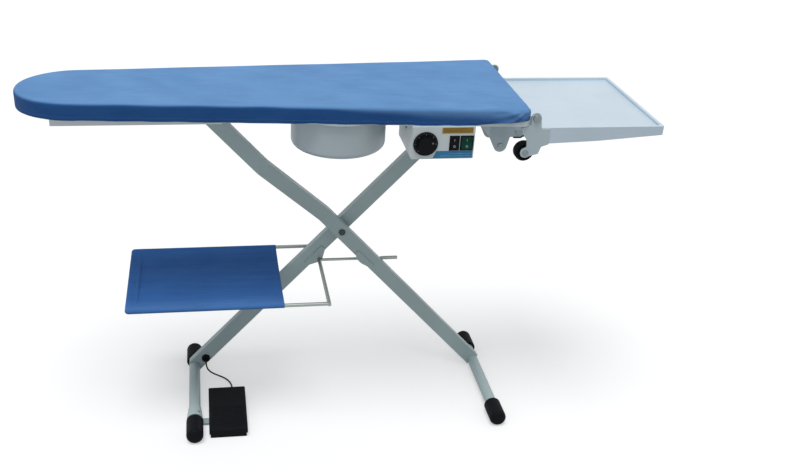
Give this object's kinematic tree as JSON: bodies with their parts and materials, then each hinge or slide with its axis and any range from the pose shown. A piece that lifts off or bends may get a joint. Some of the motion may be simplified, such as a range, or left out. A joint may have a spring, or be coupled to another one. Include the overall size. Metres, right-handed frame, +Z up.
{
  "type": "vacuum ironing table",
  "caption": "Folding suction ironing table with padded board, fan housing, control box, iron tray, scissor legs, linen shelf and foot pedal",
  "frame": {"origin": "on the floor, under the middle of the table's length and width", "axes": "+X from the nose of the board to its tail, +Y away from the side with the controls, +Z up"},
  "size_m": [1.54, 0.424, 0.9185],
  "materials": {
    "blue_cotton": "woven cotton",
    "felt": "needled felt",
    "grey_paint": "satin",
    "pale_paint": "satin",
    "white_paint": "satin",
    "leg_paint": "satin",
    "motor_paint": "satin",
    "zinc": "zinc plated",
    "element_steel": "heat stained",
    "bright_steel": "bright",
    "aluminium": "cast",
    "rod_chrome": "bright",
    "shelf_cloth": "plain weave",
    "black_plastic": "moulded",
    "green_plastic": "moulded",
    "rubber": "moulded"
  },
  "bodies": {
    "board": {"vacuum_box": "grey_paint", "perforated_plate": "zinc", "heating_element": "element_steel", "felt_pad": "felt", "cotton_cover": "blue_cotton", "fan_housing": "pale_paint", "fan_motor": "motor_paint", "control_box": "white_paint", "control_panel": "white_paint", "thermostat_body": "black_plastic", "switch_housings": "black_plastic", "mains_gland": "black_plastic", "leg_bracket": "grey_paint", "leg_bracket_pin": "bright_steel", "slide_rail": "zinc", "tail_bracket": "grey_paint", "bracket_tie_bolts": "bright_steel", "rest_pads": "rubber", "tray_lugs": "grey_paint", "tray_hinge_bolts": "black_plastic"},
    "fan": {"fan_impeller": "aluminium", "motor_shaft": "bright_steel"},
    "dial": {"thermostat_knob": "black_plastic"},
    "black_switch": {"black_rocker": "black_plastic"},
    "green_switch": {"green_rocker": "green_plastic"},
    "tray": {"tray_pan": "pale_paint", "tray_ears": "grey_paint", "wheel_axles": "bright_steel"},
    "near_roller": {"near_wheel": "rubber"},
    "far_roller": {"far_wheel": "rubber"},
    "nose_leg": {"nose_leg_beam": "leg_paint", "nose_foot_bar": "leg_paint", "nose_foot_caps": "rubber", "shelf_gusset": "leg_paint", "crossing_bolt": "bright_steel", "cord_grommet": "rubber", "pedal_cord": "black_plastic"},
    "tail_leg": {"tail_leg_beam": "leg_paint", "tail_foot_bar": "leg_paint", "tail_foot_caps": "rubber", "stay_gusset": "leg_paint", "stay_stop": "bright_steel", "crossing_bush": "black_plastic", "slider_pin": "bright_steel"},
    "slider": {"slider_block": "black_plastic"},
    "clamp": {"clamp_knob": "black_plastic"},
    "shelf": {"shelf_frame": "rod_chrome", "shelf_fabric": "shelf_cloth", "stay_bar": "rod_chrome", "stay_sleeve": "black_plastic"},
    "pedal": {"pedal_collar": "leg_paint", "pedal_base": "black_plastic", "pedal_pin": "bright_steel", "pedal_spring": "bright_steel", "pedal_switch": "black_plastic", "pedal_gland": "black_plastic"},
    "pedal_top": {"pedal_cover": "black_plastic"}
  },
  "joints": [
    {"name": "leg_fold", "type": "hinge", "parent": "board", "child": "nose_leg", "pos_m": [0.387, 0.127, 0.851], "axis": [0, 1, 0], "range_deg": [0, 43.4]},
    {"name": "leg_cross", "type": "hinge", "parent": "nose_leg", "child": "tail_leg", "pos_m": [0.03089, 0.108, 0.46711], "axis": [0, 1, 0], "range_deg": [-86.8, 0]},
    {"name": "slider_turn", "type": "hinge", "parent": "tail_leg", "child": "slider", "pos_m": [-0.32521, -0.033, 0.851], "axis": [0, 1, 0], "range_deg": [0, 43.4]},
    {"name": "clamp_turn", "type": "hinge", "parent": "tail_leg", "child": "clamp", "pos_m": [-0.32521, 0.005, 0.851], "axis": [0, 1, 0], "range_deg": [0, 270]},
    {"name": "shelf_swing", "type": "hinge", "parent": "nose_leg", "child": "shelf", "pos_m": [-0.02621, 0, 0.36732], "axis": [0, 1, 0], "range_deg": [-38.19, 0], "deforming": ["shelf_fabric"]},
    {"name": "tray_fold", "type": "hinge", "parent": "board", "child": "tray", "pos_m": [0.4435, 0, 0.8945], "axis": [0, -1, 0], "range_deg": [0, 180]},
    {"name": "near_wheel_spin", "type": "hinge", "parent": "tray", "child": "near_roller", "pos_m": [0.4255, -0.174, 0.807], "axis": [0, 1, 0], "continuous": true},
    {"name": "far_wheel_spin", "type": "hinge", "parent": "tray", "child": "far_roller", "pos_m": [0.4255, 0.174, 0.807], "axis": [0, 1, 0], "continuous": true},
    {"name": "pedal_swing", "type": "hinge", "parent": "nose_leg", "child": "pedal", "pos_m": [-0.38192, -0.11, 0.0221], "axis": [0, 1, 0], "range_deg": [-45, 0], "deforming": ["pedal_cord"]},
    {"name": "pedal_press", "type": "hinge", "parent": "pedal", "child": "pedal_top", "pos_m": [-0.293, -0.009, 0.0075], "axis": [1, 0, 0], "range_deg": [0, 3], "stiffness_Nm_per_rad": 3, "springref_deg": -3.44, "deforming": ["pedal_spring"]},
    {"name": "dial_turn", "type": "hinge", "parent": "board", "child": "dial", "pos_m": [0.179, -0.19, 0.835], "axis": [0, -1, 0], "range_deg": [0, 300]},
    {"name": "black_switch_rock", "type": "hinge", "parent": "board", "child": "black_switch", "pos_m": [0.2485, -0.189, 0.8355], "axis": [1, 0, 0], "range_deg": [0, 16]},
    {"name": "green_switch_rock", "type": "hinge", "parent": "board", "child": "green_switch", "pos_m": [0.2785, -0.189, 0.8355], "axis": [1, 0, 0], "range_deg": [0, 16]},
    {"name": "fan_spin", "type": "hinge", "parent": "board", "child": "fan", "pos_m": [-0.0086, -0.0502, 0.85], "axis": [0, 0, 1], "continuous": true}
  ],
  "couplings": [
    {"joint": "leg_cross", "follows": "leg_fold", "ratio": -2},
    {"joint": "slider_turn", "follows": "leg_fold", "ratio": 1},
    {"joint": "shelf_swing", "follows": "leg_fold", "ratio": -0.88}
  ]
}
